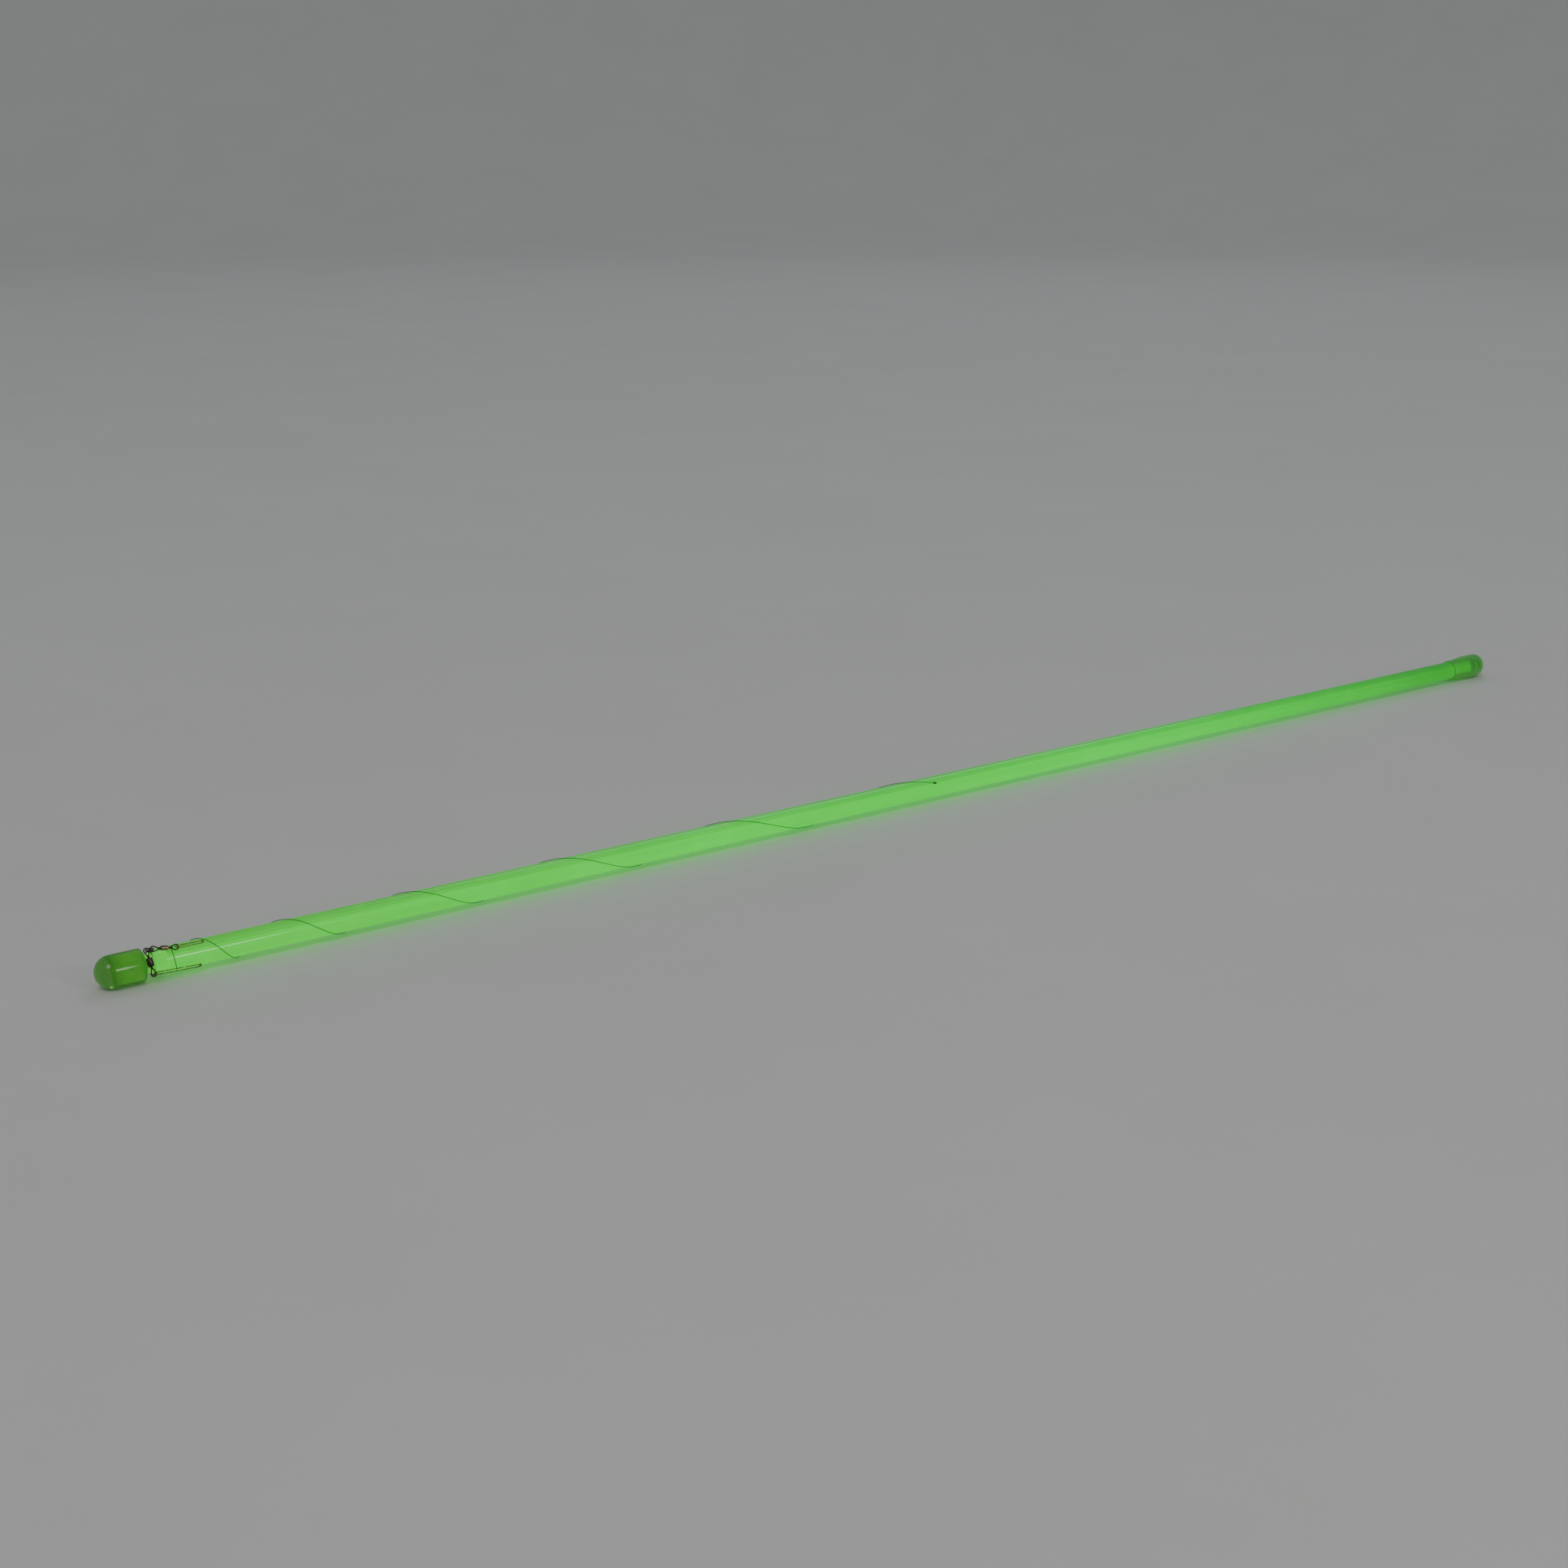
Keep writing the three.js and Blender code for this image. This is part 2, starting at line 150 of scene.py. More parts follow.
def lathe(profile, sides=ROUND, closed=False):
    """A turned mesh about X from points [along, radius]; a point on the axis becomes a pole."""
    mesh = bmesh.new()
    rings = []
    for along, radius in profile:
        if radius < ON_AXIS:
            rings.append([mesh.verts.new((along, 0, 0))])
            continue
        ring = []
        for i in range(sides):
            angle = 2 * math.pi * i / sides
            ring.append(mesh.verts.new((along, radius * math.cos(angle), radius * math.sin(angle))))
        rings.append(ring)
    pairs = list(zip(rings, rings[1:]))
    if closed:
        pairs.append((rings[-1], rings[0]))
    for first, second in pairs:
        join_rings(mesh, first, second)
    bmesh.ops.recalc_face_normals(mesh, faces=mesh.faces)
    return mesh


def join_rings(mesh, first, second):
    """Faces between two rings of vertices; a ring of one vertex is a pole."""
    count = max(len(first), len(second))
    for i in range(count):
        j = (i + 1) % count
        if len(first) == 1:
            mesh.faces.new((first[0], second[j], second[i]))
        elif len(second) == 1:
            mesh.faces.new((first[i], first[j], second[0]))
        else:
            mesh.faces.new((first[i], first[j], second[j], second[i]))


def sweep(points, radius, sides=WIRE_ROUND, closed=False, taper=0.0):
    """A round wire along points, with rounded ends. Its frame is carried along, so it never twists."""
    mesh = bmesh.new()
    count = len(points)
    tangents = []
    for i in range(count):
        before = points[i - 1] if closed or i else points[0]
        after = points[(i + 1) % count] if closed or i < count - 1 else points[-1]
        tangents.append((after - before).normalized())
    side = tangents[0].orthogonal().normalized()
    frames = []
    for tangent in tangents:
        side = (side - tangent * side.dot(tangent)).normalized()
        frames.append((side.copy(), tangent.cross(side)))
    rings = []

    def ring(centre, first, second, size):
        verts = []
        for i in range(sides):
            angle = 2 * math.pi * i / sides
            offset = first * math.cos(angle) + second * math.sin(angle)
            verts.append(mesh.verts.new(centre + size * offset))
        return verts

    end_steps = 4
    if not closed:
        rings.append([mesh.verts.new(points[0] - tangents[0] * radius)])
        for i in range(1, end_steps):
            angle = math.pi / 2 * i / end_steps
            centre = points[0] - tangents[0] * radius * math.cos(angle)
            rings.append(ring(centre, *frames[0], radius * math.sin(angle)))
    for i, point in enumerate(points):
        share = i / max(1, count - 1)
        rings.append(ring(point, *frames[i], radius * (1 - taper * share)))
    if not closed:
        last = radius * (1 - taper)
        for i in range(end_steps - 1, 0, -1):
            angle = math.pi / 2 * i / end_steps
            centre = points[-1] + tangents[-1] * last * math.cos(angle)
            rings.append(ring(centre, *frames[-1], last * math.sin(angle)))
        rings.append([mesh.verts.new(points[-1] + tangents[-1] * last)])
    for first, second in zip(rings, rings[1:]):
        join_rings(mesh, first, second)
    if closed:
        join_rings(mesh, rings[-1], rings[0])
    bmesh.ops.recalc_face_normals(mesh, faces=mesh.faces)
    return mesh


def merged(*meshes):
    """One mesh that holds all of these."""
    whole = bmesh.new()
    for mesh in meshes:
        part = bpy.data.meshes.new("part")
        mesh.to_mesh(part)
        mesh.free()
        whole.from_mesh(part)
        bpy.data.meshes.remove(part)
    return whole


def put(name, mesh, placing, material, body, nodes, sharp=40):
    """Makes a piece from a mesh in millimetres, rides it on its body and puts it in its node's place."""
    to_row = Matrix.Translation((LEFT_TIP, AXIS_Y, AXIS_Z)) @ Matrix.Scale(MM, 4)
    bmesh.ops.transform(mesh, matrix=to_row @ placing, verts=mesh.verts)
    limit = math.radians(sharp)
    for face in mesh.faces:
        face.smooth = True
    for edge in mesh.edges:
        edge.smooth = len(edge.link_faces) != 2 or edge.calc_face_angle(0) < limit
    data = bpy.data.meshes.new(name)
    mesh.to_mesh(data)
    mesh.free()
    piece = bpy.data.objects.new(name, data)
    bpy.context.scene.collection.objects.link(piece)
    data.materials.append(material)
    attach(piece, body)
    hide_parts(*nodes)
    return piece


# ---- Materials ----

class Nodes:
    """A short way to build a node tree round one Principled shader."""

    def __init__(self, name):
        self.material = bpy.data.materials.new(name)
        self.material.use_nodes = True
        self.tree = self.material.node_tree
        self.shader = self.tree.nodes["Principled BSDF"]
        self.place = self.tree.nodes.new("ShaderNodeTexCoord").outputs["Object"]

    def add(self, kind, **settings):
        node = self.tree.nodes.new(kind)
        for name, value in settings.items():
            setattr(node, name, value)
        return node

    def link(self, source, target):
        self.tree.links.new(source, target)

    def stretched(self, scale):
        """Object coordinates scaled by three numbers."""
        mapping = self.add("ShaderNodeMapping")
        mapping.inputs["Scale"].default_value = scale
        self.link(self.place, mapping.inputs["Vector"])
        return mapping.outputs["Vector"]

    def noise(self, scale, detail=3.0, roughness=0.55, stretch=(1, 1, 1)):
        texture = self.add("ShaderNodeTexNoise")
        texture.inputs["Scale"].default_value = scale
        texture.inputs["Detail"].default_value = detail
        texture.inputs["Roughness"].default_value = roughness
        self.link(self.stretched(stretch), texture.inputs["Vector"])
        return texture.outputs["Fac"]

    def ramp(self, factor, *stops):
        """A colour ramp; each stop is (place, colour)."""
        node = self.add("ShaderNodeValToRGB")
        elements = node.color_ramp.elements
        while len(elements) < len(stops):
            elements.new(0.5)
        for element, (place, colour) in zip(elements, stops):
            element.position = place
            element.color = (*colour, 1)
        self.link(factor, node.inputs["Fac"])
        return node.outputs["Color"]

    def mapped(self, value, low, high, to_low=0.0, to_high=1.0):
        node = self.add("ShaderNodeMapRange")
        node.interpolation_type = "SMOOTHSTEP"
        for name, number in (
            ("From Min", low), ("From Max", high), ("To Min", to_low), ("To Max", to_high),
        ):
            node.inputs[name].default_value = number
        self.link(value, node.inputs["Value"])
        return node.outputs["Result"]

    def spread(self, value, low, high):
        """A value from low to high as a share from 0 to 1."""
        node = self.add("ShaderNodeMapRange")
        node.inputs["From Min"].default_value = low
        node.inputs["From Max"].default_value = high
        self.link(value, node.inputs["Value"])
        return node.outputs["Result"]

    def along(self, start=0.0, end=LENGTH):
        """How far a point is from one place along the stick to another, as a share from 0 to 1."""
        parts = self.add("ShaderNodeSeparateXYZ")
        self.link(self.place, parts.inputs["Vector"])
        return self.spread(parts.outputs["X"], LEFT_TIP + start * MM, LEFT_TIP + end * MM)

    def height(self):
        """How high a point is above the stick's axis, in metres."""
        parts = self.add("ShaderNodeSeparateXYZ")
        self.link(self.place, parts.inputs["Vector"])
        node = self.add("ShaderNodeMath", operation="SUBTRACT")
        node.inputs[1].default_value = AXIS_Z
        self.link(parts.outputs["Z"], node.inputs[0])
        return node.outputs["Value"]

    def mixed(self, kind, factor, first, second):
        """Two colours mixed; either may be a socket or a plain colour."""
        node = self.add("ShaderNodeMix", data_type="RGBA", blend_type=kind)
        for socket, value in ((node.inputs[0], factor), (node.inputs[6], first), (node.inputs[7], second)):
            if isinstance(value, bpy.types.NodeSocket):
                self.link(value, socket)
            elif isinstance(value, tuple):
                socket.default_value = (*value, 1)
            else:
                socket.default_value = value
        return node.outputs[2]

    def bump(self, height, strength, distance):
        node = self.add("ShaderNodeBump")
        node.inputs["Strength"].default_value = strength
        node.inputs["Distance"].default_value = distance
        self.link(height, node.inputs["Height"])
        self.link(node.outputs["Normal"], self.shader.inputs["Normal"])

    def fix(self, **values):
        """Sets sockets that are the same all over the surface."""
        for name, value in values.items():
            socket = self.shader.inputs[name.replace("_", " ")]
            socket.default_value = (*value, 1) if isinstance(value, tuple) else value

    def feed(self, source, socket):
        self.link(source, self.shader.inputs[socket])


def glowing_fluid():
    """Luminous liquid: yellower at the left, deeper green to the right; painted shade makes it dimmer above
    its level, with a darker painted line at the level.
    """
    nodes = Nodes("luminous_green_liquid")
    bulb = FLARE_START / LENGTH
    along = nodes.ramp(
        nodes.along(),
        (0.0, (0.060, 0.54, 0.036)),
        (0.10, (0.045, 0.60, 0.036)),
        (0.35, (0.020, 0.66, 0.032)),
        (0.68, (0.002, 0.66, 0.030)),
        (0.86, (0.000, 0.48, 0.018)),
        (bulb - 0.002, (0.000, 0.32, 0.008)),
        (bulb + 0.004, (0.000, 0.46, 0.016)),
    )
    fine = nodes.noise(420, 4, 0.6, (0.06, 1, 1))
    wisps = nodes.ramp(fine, (0.25, (0.80, 0.84, 0.78)), (0.75, (1, 1, 1)))
    broad = nodes.noise(60, 3, 0.5, (0.5, 1, 1))
    clouds = nodes.ramp(broad, (0.3, (0.86, 0.92, 0.80)), (0.7, (1, 1, 1)))
    # Painted shade: the glow is dimmer and yellower above this height, with a darker painted line at it.
    level = 0.5 + 0.5 * PAINTED_SHADE_LEVEL / BORE_RADIUS
    edge = 0.020
    sides = nodes.ramp(
        nodes.spread(nodes.height(), -BORE_RADIUS * MM, BORE_RADIUS * MM),
        (0.0, (1, 1, 1)),
        (level - edge, (1, 1, 1)),
        (level, (0.86, 0.62, 0.70)),
        (level + edge, (1, 0.87, 0.92)),
        (1.0, (0.95, 0.60, 0.72)),
    )
    glow = nodes.mixed("MULTIPLY", 1.0, nodes.mixed("MULTIPLY", 1.0, along, wisps), clouds)
    nodes.feed(nodes.mixed("MULTIPLY", 1.0, glow, sides), "Emission Color")
    body = nodes.ramp(nodes.noise(150), (0.3, (0.05, 0.22, 0.04)), (0.7, (0.09, 0.30, 0.06)))
    nodes.feed(body, "Base Color")
    nodes.fix(Emission_Strength=1.5, Roughness=0.25, IOR=1.45)
    return nodes.material


def clear_tube():
    """Clear flexible plastic with faint drawn lines along it and a little haze."""
    nodes = Nodes("clear_tube_plastic")
    haze = nodes.noise(240, 4, 0.6, (0.08, 1, 1))
    nodes.feed(nodes.ramp(haze, (0.3, (0.68, 0.95, 0.62)), (0.7, (0.78, 1.0, 0.74))), "Base Color")
    nodes.feed(nodes.mapped(nodes.noise(900, 3, 0.6, (0.15, 1, 1)), 0.35, 0.75, 0.03, 0.16), "Roughness")
    nodes.bump(nodes.noise(1600, 2, 0.5, (0.01, 1, 1)), 0.12, 0.00004)
    nodes.fix(Transmission_Weight=1.0, IOR=1.46)
    return nodes.material


def clear_cap(name, dark_tint, light_tint):
    """Moulded clear plastic with a soft gloss and fine scuffs; its green tint and faint green emission are
    painted glow from the liquid.
    """
    nodes = Nodes(name)
    cloud = nodes.noise(300, 4, 0.6)
    nodes.feed(nodes.ramp(cloud, (0.3, dark_tint), (0.7, light_tint)), "Base Color")
    nodes.feed(nodes.mapped(nodes.noise(1500, 4, 0.65), 0.4, 0.75, 0.06, 0.24), "Roughness")
    # Painted glow: a faint green emission in the clear plastic.
    nodes.feed(nodes.ramp(cloud, (0.2, (0.03, 0.17, 0.02)), (0.8, (0.05, 0.24, 0.03))), "Emission Color")
    nodes.bump(nodes.noise(700, 3, 0.6), 0.15, 0.00006)
    nodes.fix(Transmission_Weight=0.92, IOR=1.46, Emission_Strength=0.16)
    return nodes.material


def milky_plug(name, strength, *stretches):
    """Milky, cloudy plastic with painted glow standing in for the light it carries; each stretch is
    (millimetres along, painted glow colour).
    """
    nodes = Nodes(name)
    start, end = stretches[0][0], stretches[-1][0]
    stops = [((place - start) / (end - start), colour) for place, colour in stretches]
    glow = nodes.ramp(nodes.along(start, end), *stops)
    cloud = nodes.noise(500, 4, 0.6, (0.4, 1, 1))
    shade = nodes.ramp(cloud, (0.3, (0.78, 0.82, 0.74)), (0.7, (1, 1, 1)))
    # Painted glow: emission along the plug, mottled by noise.
    nodes.feed(nodes.mixed("MULTIPLY", 1.0, glow, shade), "Emission Color")
    nodes.feed(nodes.ramp(cloud, (0.3, (0.10, 0.30, 0.06)), (0.7, (0.18, 0.40, 0.11))), "Base Color")
    nodes.feed(nodes.mapped(nodes.noise(1200, 3), 0.3, 0.7, 0.35, 0.55), "Roughness")
    nodes.bump(nodes.noise(900, 3), 0.2, 0.00005)
    nodes.fix(Emission_Strength=strength, Subsurface_Weight=0.15, Subsurface_Scale=0.0008)
    return nodes.material


def thin_glass():
    """Thin clear glass, slightly frosted where it was scored."""
    nodes = Nodes("thin_ampoule_glass")
    tint = nodes.ramp(nodes.noise(200), (0.3, (0.86, 0.95, 0.86)), (0.7, (0.95, 1.0, 0.95)))
    nodes.feed(tint, "Base Color")
    nodes.feed(nodes.mapped(nodes.noise(1100, 4), 0.5, 0.8, 0.01, 0.2), "Roughness")
    nodes.fix(Transmission_Weight=1.0, IOR=1.5)
    return nodes.material


def wire_metal(name, dark, light, worn, roughness, grain):
    """Metal with darker tarnish in patches, bright worn spots and a fine drawn grain."""
    nodes = Nodes(name)
    tarnish = nodes.ramp(nodes.noise(900, 4, 0.6), (0.35, dark), (0.65, light))
    spots = nodes.mapped(nodes.noise(2600, 2, 0.5), 0.60, 0.70)
    nodes.feed(nodes.mixed("MIX", spots, tarnish, worn), "Base Color")
    nodes.feed(nodes.mapped(nodes.noise(1700, 3), 0.3, 0.7, roughness - 0.1, roughness + 0.12), "Roughness")
    nodes.bump(nodes.noise(grain, 3, 0.6), 0.25, 0.00001)
    nodes.fix(Metallic=1.0)
    return nodes.material


def fine_line():
    """Dark monofilament with lighter patches where it is scuffed."""
    nodes = Nodes("dark_monofilament")
    scuffs = nodes.ramp(nodes.noise(350, 4), (0.35, (0.015, 0.045, 0.012)), (0.75, (0.05, 0.12, 0.04)))
    nodes.feed(scuffs, "Base Color")
    nodes.feed(nodes.mapped(nodes.noise(1400, 3), 0.3, 0.7, 0.28, 0.5), "Roughness")
    nodes.bump(nodes.noise(3000, 2), 0.15, 0.00001)
    return nodes.material


def pale_floor():
    """Plain pale matt surface with barely visible mottling."""
    nodes = Nodes("pale_floor")
    mottling = nodes.ramp(nodes.noise(9, 5, 0.6), (0.3, (0.79, 0.78, 0.76)), (0.7, (0.82, 0.81, 0.79)))
    nodes.feed(mottling, "Base Color")
    nodes.feed(nodes.mapped(nodes.noise(60, 4), 0.3, 0.7, 0.55, 0.7), "Roughness")
    nodes.bump(nodes.noise(500, 4), 0.1, 0.0002)
    return nodes.material


# ---- The light stick ----

STRAIGHT = Matrix.Identity(4)


def make_outer_tube(material):
    """A drawn tube with slightly rounded cut ends."""
    wall = TUBE_RADIUS - BORE_RADIUS
    middle = BORE_RADIUS + wall / 2
    round_over = 0.16
    left = arc((TUBE_START + round_over, middle), (round_over, wall / 2), 270, 90, 10)
    right = arc((TUBE_END - round_over, middle), (round_over, wall / 2), 90, -90, 10)
    body = []
    steps = 60
    for i in range(1, steps):
        share = i / steps
        body.append((TUBE_START + share * (TUBE_END - TUBE_START), TUBE_RADIUS))
    inner = [(along, BORE_RADIUS) for along, radius in reversed(body)]
    mesh = lathe(left + body + right + inner, closed=True)
    return put("clear_outer_tube", mesh, STRAIGHT, material, "stick", ["outer_tube"])


def make_glow_fluid(material):
    """The liquid wets the whole bore and ends in a dome at the right."""
    radius = BORE_RADIUS + CONTACT
    inside_spigot = SPIGOT_RADIUS - SPIGOT_WALL + CONTACT
    rim = 0.15
    step = 0.02
    profile = [(FLUID_START, 0), (FLUID_START, inside_spigot * 0.9), (FLUID_START + rim, inside_spigot)]
    profile += [(SPIGOT_END, inside_spigot), (SPIGOT_END + step, radius)]
    steps = 80
    dome_centre = FLUID_END - radius
    for i in range(1, steps):
        profile.append((SPIGOT_END + (dome_centre - SPIGOT_END) * i / steps, radius))
    profile += arc((dome_centre, 0), radius, 90, 0, 16)
    mesh = lathe(profile)
    return put("luminous_fluid", mesh, STRAIGHT, material, "stick", ["glow_fluid"], 30)


def make_ampoule_piece(index, material):
    """A length of thin glass tube with a jagged break at each end."""
    node = f"ampoule_piece_{index}"
    low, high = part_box(node)
    start = (low.x - LEFT_TIP) / MM
    end = (high.x - LEFT_TIP) / MM
    inner_radius = AMPOULE_RADIUS - AMPOULE_WALL
    steps = 24
    raggedness = 2.3
    piece_offset = Vector((0, 0, 3.7 * index))
    right_offset = Vector((0, 0, 9))
    mesh = bmesh.new()

    def ring(share, radius):
        points = []
        for i in range(SMALL_ROUND):
            angle = 2 * math.pi * i / SMALL_ROUND
            around = (Vector((math.cos(angle), math.sin(angle), 0)) + piece_offset) * raggedness
            left = 2 * JAGGED_DEPTH * abs(noise.noise(around))
            right = 2 * JAGGED_DEPTH * abs(noise.noise(around + right_offset))
            along = (start + left) * (1 - share) + (end - right) * share
            points.append(mesh.verts.new((along, radius * math.cos(angle), radius * math.sin(angle))))
        return points

    outer = [ring(i / steps, AMPOULE_RADIUS) for i in range(steps + 1)]
    inner = [ring(i / steps, inner_radius) for i in range(steps, -1, -1)]
    rings = outer + inner
    for first, second in zip(rings, rings[1:] + rings[:1]):
        join_rings(mesh, first, second)
    bmesh.ops.recalc_face_normals(mesh, faces=mesh.faces)
    name = f"ampoule_glass_{index}"
    return put(name, mesh, STRAIGHT, material, "stick", [node])


def make_left_plug(material):
    """A stopper: domed body in the cap, bare neck, and hollow spigot in the tube."""
    nose_centre = TIP_THICKNESS + FIT_GAP + NOSE_DEPTH
    body_end = CAP_LENGTH - 3 * FIT_GAP
    neck_end = TUBE_START - FIT_GAP
    hollow_start = FLUID_START - FIT_GAP
    hollow_radius = SPIGOT_RADIUS - SPIGOT_WALL
    soft = 0.15
    profile = arc((nose_centre, 0), (NOSE_DEPTH, PLUG_RADIUS), 180, 90, 24)
    profile += arc((body_end - soft, PLUG_RADIUS - soft), soft, 90, 0, 5)
    profile += arc((body_end + soft, NECK_RADIUS + soft), soft, 180, 270, 5)
    profile += [(neck_end, NECK_RADIUS), (neck_end, SPIGOT_RADIUS)]
    profile += arc((SPIGOT_END - soft, SPIGOT_RADIUS - soft), soft, 90, 0, 5)
    profile += [(SPIGOT_END, hollow_radius), (hollow_start, hollow_radius), (hollow_start, 0)]
    return put("milky_left_plug", lathe(profile), STRAIGHT, material, "stick", ["left_plug"])


def make_left_end_cap(material):
    """A domed sleeve, with a rounded mouth and a hollow nose that fits the plug."""
    mouth = (CAP_RADIUS - CAP_BORE) / 2
    profile = arc((CAP_RADIUS, 0), CAP_RADIUS, 180, 90, 32)
    profile += arc((CAP_LENGTH - mouth, CAP_BORE + mouth), mouth, 90, -90, 10)
    profile += arc((TIP_THICKNESS + NOSE_DEPTH, 0), (NOSE_DEPTH, CAP_BORE), 90, 180, 24)
    mesh = lathe(profile)
    return put("clear_left_cap", mesh, STRAIGHT, material, "stick", ["left_end_cap"])


def make_right_plug(material):
    """The dim solid end of the bore, hollowed at the left to fit the fluid's dome."""
    cup_rim = FLUID_END + FIT_GAP - CUP_DEPTH
    cup_radius = CUP_SHARE * (BORE_RADIUS - FIT_GAP)
    body_start = TUBE_END + 3 * FIT_GAP
    nose_centre = LENGTH - RIGHT_TIP - FIT_GAP - NOSE_DEPTH
    soft = 0.15
    profile = arc((cup_rim, 0), (CUP_DEPTH, cup_radius), 0, 90, 10)
    profile += [(cup_rim, SPIGOT_RADIUS), (body_start, SPIGOT_RADIUS)]
    profile += arc((body_start + soft, PLUG_RADIUS - soft), soft, 180, 90, 5)
    profile += arc((nose_centre, 0), (NOSE_DEPTH, PLUG_RADIUS), 90, 0, 24)
    mesh = lathe(profile)
    return put("milky_right_plug", mesh, STRAIGHT, material, "stick", ["right_plug"])


def make_right_end_cap(material):
    """A clear bulb whose skirt flares out of the tube in one smooth curve."""
    sleeve_bore = TUBE_RADIUS + SLEEVE_GAP
    lip_radius = sleeve_bore + LIP
    inner_centre = LENGTH - RIGHT_TIP - NOSE_DEPTH
    lip_centre = FLARE_START + LIP / 2
    flare = []
    steps = 32
    for i in range(1, steps):
        share = i / steps
        rise = share * share * (3 - 2 * share)
        along = lip_centre + share * (FLARE_END - lip_centre)
        flare.append((along, lip_radius + rise * (CAP_RADIUS - lip_radius)))
    profile = arc((inner_centre, 0), (NOSE_DEPTH, CAP_BORE), 0, 90, 24)
    profile += [(TUBE_END + FIT_GAP, CAP_BORE), (TUBE_END + FIT_GAP, sleeve_bore)]
    profile += arc((lip_centre, sleeve_bore + LIP / 2), LIP / 2, 270, 90, 8)
    profile += flare
    profile += arc((LENGTH - CAP_RADIUS, 0), CAP_RADIUS, 90, 0, 32)
    mesh = lathe(profile)
    return put("clear_right_bulb", mesh, STRAIGHT, material, "stick", ["right_end_cap"])


# ---- The fitting. Its points are (along, out to the front, up), in a frame tilted to face the front ----

TILTED = Matrix.Rotation(-FRONT_TILT, 4, "X")


def fitting_point(along, out, up):
    return Vector((along, -out, up))


NECK_EYE_TOP = fitting_point(11.5, 3.1, 2.85)
NECK_EYE_BOTTOM = fitting_point(12.05, 3.1, -2.56)
TUBE_EYE_LEFT = fitting_point(13.2, 2.75, 2.95)
TUBE_EYE_RIGHT = fitting_point(18.25, 3.2, 2.26)
TOP_CLIP_TIP = fitting_point(24.85, 2.9, 2.13)
BOTTOM_CLIP_TIP = fitting_point(23.6, 2.0, -3.0)


def aimed(origin, y_direction, z_hint):
    """A placing whose Y runs along one direction and whose Z faces another as nearly as it can."""
    y = y_direction.normalized()
    x = y.cross(z_hint).normalized()
    z = x.cross(y)
    turn = Matrix((x, y, z)).transposed().to_4x4()
    return TILTED @ Matrix.Translation(origin) @ turn


def upright(mesh):
    """Turns a mesh made along X so that it runs along Y."""
    bmesh.ops.transform(mesh, matrix=Matrix.Rotation(math.pi / 2, 4, "Z"), verts=mesh.verts)
    return mesh


def barrel_mesh(radius, half_length):
    """The shell of a swivel: rounded shoulders, a turned groove near each end, and a hole for each stem."""
    hole = EYE_STEM / 2 + STEM_CLEARANCE
    room = radius - BARREL_WALL
    wall_end = half_length - BARREL_END_WALL
    shoulder_start = half_length - BARREL_SHOULDER
    rim = 0.05
    groove = 0.035
    groove_place = shoulder_start - 0.12
    half = arc((groove_place, radius + groove * 0.4), groove, 180, 360, 6)
    half += arc((shoulder_start, radius - BARREL_SHOULDER), BARREL_SHOULDER, 90, 8, 10)
    half += arc((half_length - rim, hole + rim), rim, 0, -90, 4)
    half += [(wall_end, hole), (wall_end, room)]
    other = [(-along, out) for along, out in reversed(half)]
    return upright(lathe(other + half, SMALL_ROUND, closed=True))


def coil(radius, wire_radius, turns, pitch, steps=24):
    """A close coil of wire about Y."""
    points = []
    for i in range(round(turns * steps) + 1):
        turn = i / steps
        angle = 2 * math.pi * turn
        rise = (turn - turns / 2) * pitch
        points.append(Vector((radius * math.cos(angle), rise, radius * math.sin(angle))))
    return sweep(points, wire_radius)


def shifted(mesh, offset):
    bmesh.ops.translate(mesh, vec=offset, verts=mesh.verts)
    return mesh


def eye_mesh(reach, radius, half_length):
    """One wire bent into a drop-shaped eye, its neck bound by a few turns, and a headed stem."""
    stem_radius = EYE_STEM / 2
    leg = EYE_WIRE * 0.45
    start = Vector((leg, -EYE_NECK))
    tangent = math.atan2(start.y, start.x) + math.acos(EYE_RADIUS / start.length)
    points = [Vector((leg, reach - EYE_NECK, 0))]
    steps = 40
    for i in range(steps + 1):
        angle = tangent + (math.pi - 2 * tangent) * i / steps
        points.append(Vector((EYE_RADIUS * math.cos(angle), reach + EYE_RADIUS * math.sin(angle), 0)))
    points.append(Vector((-leg, reach - EYE_NECK, 0)))
    loop = sweep(points, EYE_WIRE / 2)
    head_radius = radius - BARREL_WALL - FIT_GAP
    head_top = half_length - BARREL_END_WALL - FIT_GAP
    head_bottom = head_top - STEM_HEAD
    stem_end = reach - EYE_NECK + 0.1
    soft = 0.06
    profile = [(head_bottom, 0)]
    profile += arc((head_bottom + soft, head_radius - soft), soft, 180, 90, 4)
    profile += arc((head_top - soft, head_radius - soft), soft, 90, 0, 4)
    profile += [(head_top, stem_radius), (stem_end, stem_radius), (stem_end, 0)]
    stem = upright(lathe(profile, STEM_ROUND))
    wrap_wire = 0.065
    wrap_start = half_length + 0.12
    shortest_wrap = 0.2
    wrap_end = max(wrap_start + shortest_wrap, reach - EYE_NECK + 0.12)
    turns = (wrap_end - wrap_start) / (2 * wrap_wire)
    wrap = coil(stem_radius + 0.8 * wrap_wire, wrap_wire, turns, 2 * wrap_wire, 20)
    shifted(wrap, (0, (wrap_start + wrap_end) / 2, 0))
    return merged(loop, stem, wrap)


